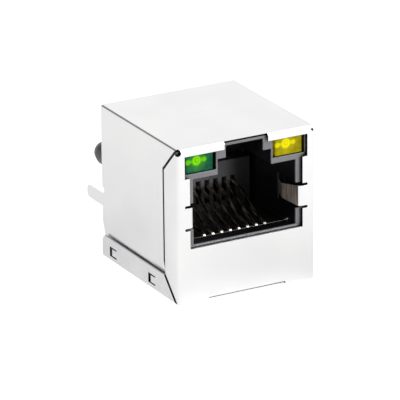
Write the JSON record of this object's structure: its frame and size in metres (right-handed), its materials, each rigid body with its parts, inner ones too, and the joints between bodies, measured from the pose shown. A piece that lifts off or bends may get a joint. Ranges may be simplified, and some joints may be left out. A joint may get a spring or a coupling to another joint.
{
  "type": "rj45 board jack",
  "caption": "Shielded top-entry modular jack for a circuit board, with indicator lamps, built-in magnetics, locating pegs and shield legs.",
  "frame": {"origin": "on the board face, midway between the axes of the two locating pegs", "axes": "+X across the port, +Y into the board along the pegs and pins, +Z from the flat cover towards the latch notch; the port faces -Y"},
  "size_m": [0.0162, 0.0207, 0.0168],
  "materials": {
    "shell_metal": "tin-plated sheet, bright satin",
    "cover_metal": "tin-plated sheet, bright satin",
    "housing_plastic": "black moulded plastic, semi-gloss",
    "block_plastic": "black moulded plastic",
    "contact_gold": "gold-plated spring wire",
    "green_lens": "tinted clear resin",
    "yellow_lens": "tinted clear resin",
    "lead_metal": "tin-plated wire",
    "board_laminate": "solder-masked laminate",
    "ferrite": "sintered ferrite, matt",
    "enamelled_copper": "enamelled copper wire",
    "resistor_ceramic": "glazed ceramic chip",
    "capacitor_ceramic": "sintered ceramic chip"
  },
  "bodies": {
    "root": {"main_shell": "shell_metal", "cover": "cover_metal", "housing": "housing_plastic", "contact_block": "block_plastic", "led_green": "green_lens", "led_green_anode": "lead_metal", "led_green_cathode": "lead_metal", "led_yellow": "yellow_lens", "led_yellow_anode": "lead_metal", "led_yellow_cathode": "lead_metal", "circuit_board": "board_laminate", "magnetics_tray": "block_plastic", "capacitor": "capacitor_ceramic", "contact_1": "contact_gold", "core_1": "ferrite", "winding_1": "enamelled_copper", "contact_2": "contact_gold", "core_2": "ferrite", "winding_2": "enamelled_copper", "contact_3": "contact_gold", "core_3": "ferrite", "winding_3": "enamelled_copper", "contact_4": "contact_gold", "core_4": "ferrite", "winding_4": "enamelled_copper", "contact_5": "contact_gold", "core_5": "ferrite", "winding_5": "enamelled_copper", "contact_6": "contact_gold", "core_6": "ferrite", "winding_6": "enamelled_copper", "contact_7": "contact_gold", "core_7": "ferrite", "winding_7": "enamelled_copper", "contact_8": "contact_gold", "core_8": "ferrite", "winding_8": "enamelled_copper", "resistor_1": "resistor_ceramic", "resistor_2": "resistor_ceramic", "resistor_3": "resistor_ceramic", "resistor_4": "resistor_ceramic", "signal_pin_1": "lead_metal", "signal_pin_2": "lead_metal", "signal_pin_3": "lead_metal", "signal_pin_4": "lead_metal", "signal_pin_5": "lead_metal", "signal_pin_6": "lead_metal", "signal_pin_7": "lead_metal", "signal_pin_8": "lead_metal", "signal_pin_9": "lead_metal", "signal_pin_10": "lead_metal"}
  },
  "joints": []
}
